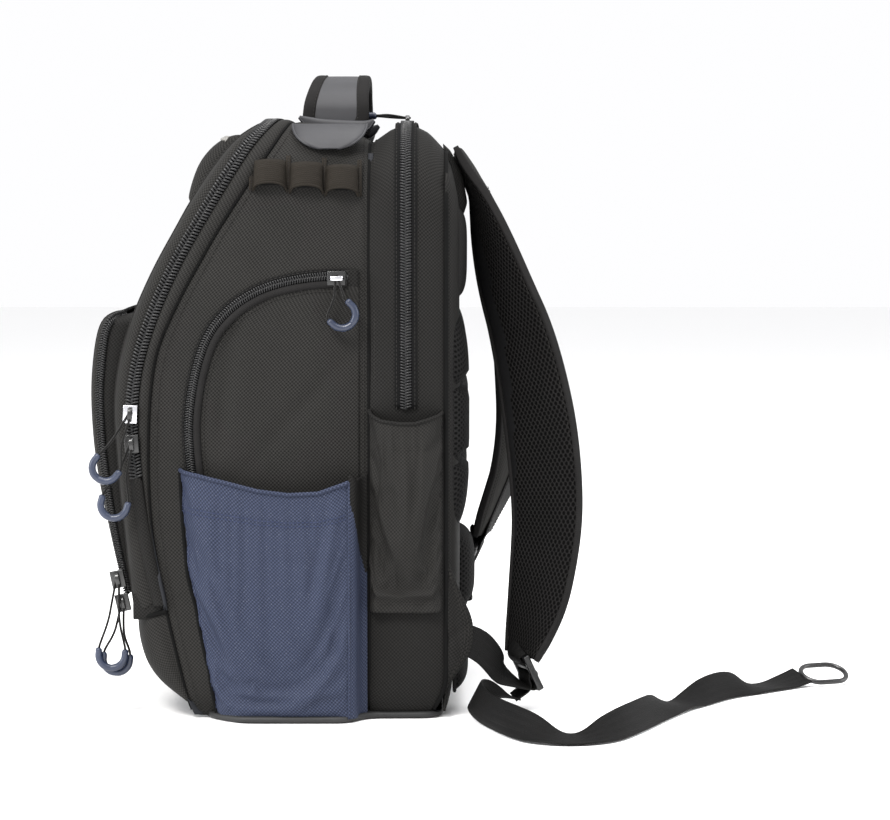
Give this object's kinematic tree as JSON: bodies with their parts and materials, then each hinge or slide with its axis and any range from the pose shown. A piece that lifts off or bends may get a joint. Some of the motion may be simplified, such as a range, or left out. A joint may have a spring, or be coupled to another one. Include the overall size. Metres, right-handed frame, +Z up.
{
  "type": "flight bag",
  "caption": "Pilot's backpack that stands on its base, with a hinged front lid, side pockets, pen loops, carry handle, padded shoulder straps and a loose webbing tail.",
  "frame": {"origin": "centre of the base's flat underside, on the floor", "axes": "+Z up, -Y towards the front of the bag, +Y towards the wearer, +X to the bag's own side with the pen loops"},
  "size_m": [0.4415, 0.6141, 0.503],
  "materials": {
    "nylon": "matte ballistic nylon twill",
    "dark_nylon": "matte woven nylon",
    "blue_nylon": "matte navy nylon twill",
    "air_mesh": "hexagonal spacer mesh",
    "lining": "smooth lining",
    "webbing": "ribbed polypropylene webbing",
    "loop_webbing": "ribbed webbing",
    "zip_coil": "glossy nylon coil",
    "pale_zip": "pale coil",
    "grey_rubber": "smooth moulded rubber",
    "blue_rubber": "satin blue rubber",
    "black_plastic": "semi-gloss moulded plastic",
    "base_rubber": "textured rubberised fabric",
    "frame_plastic": "natural polyethylene sheet",
    "black_metal": "black enamelled zip slider",
    "bright_metal": "bright zip slider"
  },
  "bodies": {
    "bag": {"base_panel": "base_rubber", "lower_front_panel": "nylon", "side_panel_right": "nylon", "side_panel_left": "nylon", "top_panel": "nylon", "divider_panel": "lining", "rear_gusset_right": "nylon", "rear_gusset_left": "nylon", "rear_top_panel": "nylon", "back_panel": "nylon", "frame_sheet": "frame_plastic", "back_pads": "air_mesh", "side_pocket_right": "blue_nylon", "side_pocket_gusset_right": "dark_nylon", "side_pocket_left": "blue_nylon", "side_pocket_gusset_left": "dark_nylon", "tube_pocket_right": "dark_nylon", "tube_pocket_left": "dark_nylon", "arch_panels": "nylon", "arch_zips": "zip_coil", "pen_loops": "loop_webbing", "main_zip_body_half": "zip_coil", "rear_zip": "zip_coil", "handle_bases": "grey_rubber", "side_wings": "nylon", "lower_webbing_right": "webbing", "lower_webbing_left": "webbing", "webbing_tail": "webbing", "tail_ring": "black_plastic"},
    "lid": {"lid_front_panel": "nylon", "lid_gusset_right": "nylon", "lid_gusset_left": "nylon", "main_zip_lid_half": "zip_coil", "top_pocket": "nylon", "top_pocket_zip": "pale_zip", "front_pocket_gusset": "nylon", "front_pocket_zip": "zip_coil", "pocket_slider_lower": "black_metal"},
    "pocket_flap": {"front_pocket_flap": "nylon"},
    "handle": {"handle_grip": "grey_rubber"},
    "strap_right": {"shoulder_strap_right": "air_mesh", "strap_loops_right": "webbing", "ladder_lock_right": "black_plastic"},
    "strap_left": {"shoulder_strap_left": "air_mesh", "strap_loops_left": "webbing", "ladder_lock_left": "black_plastic"},
    "main_slider_upper_body": {"main_slider_upper": "bright_metal"},
    "main_slider_lower_body": {"main_slider_lower": "black_metal"},
    "pocket_slider_upper_body": {"pocket_slider_upper": "black_metal"},
    "arch_slider_body": {"arch_slider": "black_metal"},
    "rear_slider_body": {"rear_slider": "black_metal"},
    "main_pull_upper_body": {"main_pull_upper": "blue_rubber"},
    "main_pull_lower_body": {"main_pull_lower": "blue_rubber"},
    "pocket_pull_upper_body": {"pocket_pull_upper": "blue_rubber"},
    "pocket_pull_lower_body": {"pocket_pull_lower": "blue_rubber"},
    "arch_pull_body": {"arch_pull": "blue_rubber"},
    "rear_pull_body": {"rear_pull": "blue_rubber"}
  },
  "joints": [
    {"name": "lid_hinge", "type": "hinge", "parent": "bag", "child": "lid", "pos_m": [0, -0.121, 0.076], "axis": [1, 0, 0], "range_deg": [0, 70]},
    {"name": "pocket_flap_hinge", "type": "hinge", "parent": "lid", "child": "pocket_flap", "pos_m": [0, -0.127, 0.09], "axis": [1, 0, 0], "range_deg": [0, 30]},
    {"name": "handle_hinge", "type": "hinge", "parent": "bag", "child": "handle", "pos_m": [0, 0.038, 0.4595], "axis": [1, 0, 0], "range_deg": [-20, 20]},
    {"name": "strap_right_swing", "type": "hinge", "parent": "bag", "child": "strap_right", "pos_m": [0, 0.127, 0.44], "axis": [1, 0, 0], "range_deg": [0, 8]},
    {"name": "strap_left_swing", "type": "hinge", "parent": "bag", "child": "strap_left", "pos_m": [0, 0.127, 0.44], "axis": [1, 0, 0], "range_deg": [0, 8]},
    {"name": "main_slider_upper_slide", "type": "slide", "parent": "bag", "child": "main_slider_upper_body", "axis": [0, 0.19, 0.9818], "range_m": [0, 0.045]},
    {"name": "main_slider_lower_slide", "type": "slide", "parent": "bag", "child": "main_slider_lower_body", "axis": [0, 0.0748, -0.9972], "range_m": [0, 0.014]},
    {"name": "pocket_slider_upper_slide", "type": "slide", "parent": "lid", "child": "pocket_slider_upper_body", "axis": [0, -0.2195, 0.9756], "range_m": [0, 0.04]},
    {"name": "arch_slider_slide", "type": "slide", "parent": "bag", "child": "arch_slider_body", "axis": [0, -1, 0], "range_m": [0, 0.025]},
    {"name": "rear_slider_slide", "type": "slide", "parent": "bag", "child": "rear_slider_body", "axis": [-1, 0, 0], "range_m": [-0.02, 0.08]},
    {"name": "main_pull_upper_swing", "type": "hinge", "parent": "main_slider_upper_body", "child": "main_pull_upper_body", "pos_m": [0.1503, -0.1195, 0.237], "axis": [1, 0, 0], "range_deg": [-25, 35]},
    {"name": "main_pull_lower_swing", "type": "hinge", "parent": "main_slider_lower_body", "child": "main_pull_lower_body", "pos_m": [0.1503, -0.1185, 0.214], "axis": [1, 0, 0], "range_deg": [-25, 25]},
    {"name": "pocket_pull_upper_swing", "type": "hinge", "parent": "pocket_slider_upper_body", "child": "pocket_pull_upper_body", "pos_m": [0.1211, -0.133, 0.1055], "axis": [1, 0, 0], "range_deg": [-72, 8]},
    {"name": "pocket_pull_lower_swing", "type": "hinge", "parent": "lid", "child": "pocket_pull_lower_body", "pos_m": [0.1211, -0.1292, 0.087], "axis": [1, 0, 0], "range_deg": [-72, 8]},
    {"name": "arch_pull_swing", "type": "hinge", "parent": "arch_slider_body", "child": "arch_pull_body", "pos_m": [0.1514, 0.04, 0.342], "axis": [1, 0, 0], "range_deg": [-40, 30]},
    {"name": "rear_pull_swing", "type": "hinge", "parent": "rear_slider_body", "child": "rear_pull_body", "pos_m": [0.03, 0.094, 0.4568], "axis": [0, 0, 1], "range_deg": [-25, 25]}
  ],
  "couplings": [
    {"joint": "pocket_pull_upper_swing", "follows": "lid_hinge", "ratio": -1},
    {"joint": "pocket_pull_lower_swing", "follows": "lid_hinge", "ratio": -1}
  ]
}
